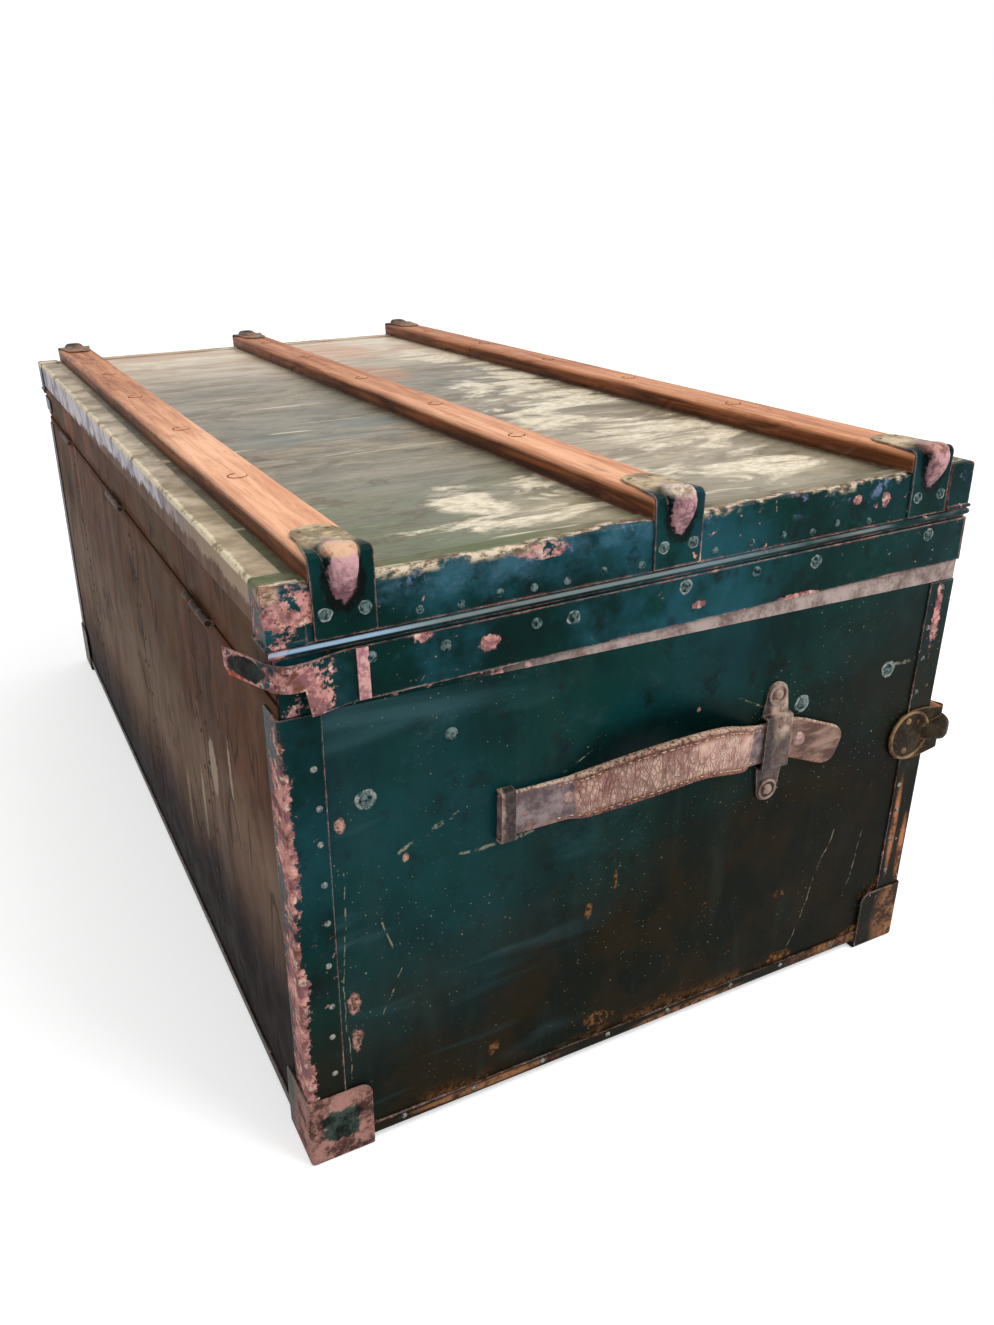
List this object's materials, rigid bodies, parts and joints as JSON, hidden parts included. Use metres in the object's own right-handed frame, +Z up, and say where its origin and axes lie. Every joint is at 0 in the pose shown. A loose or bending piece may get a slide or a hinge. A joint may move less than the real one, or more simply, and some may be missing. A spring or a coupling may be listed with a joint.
{
  "type": "trunk",
  "caption": "Flat-topped cabin trunk with a hinged lid, sheet-iron covering, wooden slats held by clamps, riveted corner caps, a front hasp and a leather handle on each end.",
  "frame": {"origin": "on the floor, under the middle of the whole trunk", "axes": "+X along the trunk, with the pictured green end at -X; the hinges at +Y and the lock at -Y; +Z up"},
  "size_m": [0.9996, 0.5448, 0.4214],
  "materials": {
    "carcass_wood": "dry unfinished softwood",
    "slat_wood": "worn orange-brown varnish",
    "green_paint": "worn dark green gloss paint over pinkish primer",
    "brown_paint": "weathered olive-brown paint, streaked and rusty",
    "bare_iron": "dull bare iron with rust",
    "leather": "cracked brown leather, stitched"
  },
  "bodies": {
    "base": {"base_board_near": "carcass_wood", "base_board_far": "carcass_wood", "base_board_front": "carcass_wood", "base_board_back": "carcass_wood", "base_board_bottom": "carcass_wood", "base_sheet_near": "green_paint", "base_sheet_far": "green_paint", "base_sheet_front": "brown_paint", "base_sheet_back": "brown_paint", "bottom_pan": "green_paint", "rim_band": "bare_iron", "corner_binding_near_front": "green_paint", "corner_binding_near_back": "green_paint", "corner_binding_far_front": "green_paint", "corner_binding_far_back": "green_paint", "corner_cap_near_front": "green_paint", "corner_cap_near_back": "green_paint", "corner_cap_far_front": "green_paint", "corner_cap_far_back": "green_paint", "slat_front": "slat_wood", "clamp_front_near": "green_paint", "clamp_front_far": "green_paint", "handle_loop_near_front": "bare_iron", "handle_loop_near_back": "bare_iron", "handle_loop_far_front": "bare_iron", "handle_loop_far_back": "bare_iron", "hinge_base_near": "bare_iron", "hinge_base_middle": "bare_iron", "hinge_base_far": "bare_iron", "lock_plate": "bare_iron"},
    "lid": {"lid_board_near": "carcass_wood", "lid_board_far": "carcass_wood", "lid_board_front": "carcass_wood", "lid_board_back": "carcass_wood", "lid_board_top": "carcass_wood", "hinge_lid_near": "bare_iron", "hinge_lid_middle": "bare_iron", "hinge_lid_far": "bare_iron", "lid_sheet_top": "brown_paint", "lid_sheet_back": "brown_paint", "lid_binding_near": "green_paint", "lid_binding_far": "green_paint", "lid_binding_front": "brown_paint", "lid_binding_back": "green_paint", "valance_near": "green_paint", "valance_far": "green_paint", "valance_front": "green_paint", "slat_lid_back": "slat_wood", "clamp_lid_back_near": "green_paint", "clamp_lid_back_far": "green_paint", "slat_lid_middle": "slat_wood", "clamp_lid_middle_near": "green_paint", "clamp_lid_middle_far": "green_paint", "slat_lid_front": "slat_wood", "clamp_lid_front_near": "green_paint", "clamp_lid_front_far": "green_paint", "hasp_leaf": "bare_iron"},
    "hasp": {"hasp": "bare_iron"},
    "near_handle": {"handle_near": "leather"},
    "far_handle": {"handle_far": "leather"}
  },
  "joints": [
    {"name": "lid_hinge", "type": "hinge", "parent": "base", "child": "lid", "pos_m": [0, 0.25822, 0.3275], "axis": [-1, 0, 0], "range_deg": [-1.6, 100]},
    {"name": "hasp_hinge", "type": "hinge", "parent": "lid", "child": "hasp", "pos_m": [0, -0.25652, 0.33668], "axis": [-1, 0, 0], "range_deg": [0, 150]},
    {"name": "near_handle_slide", "type": "slide", "parent": "base", "child": "near_handle", "axis": [0, 1, 0], "range_m": [-0.008, 0.003]},
    {"name": "far_handle_slide", "type": "slide", "parent": "base", "child": "far_handle", "axis": [0, 1, 0], "range_m": [-0.008, 0.003]}
  ]
}
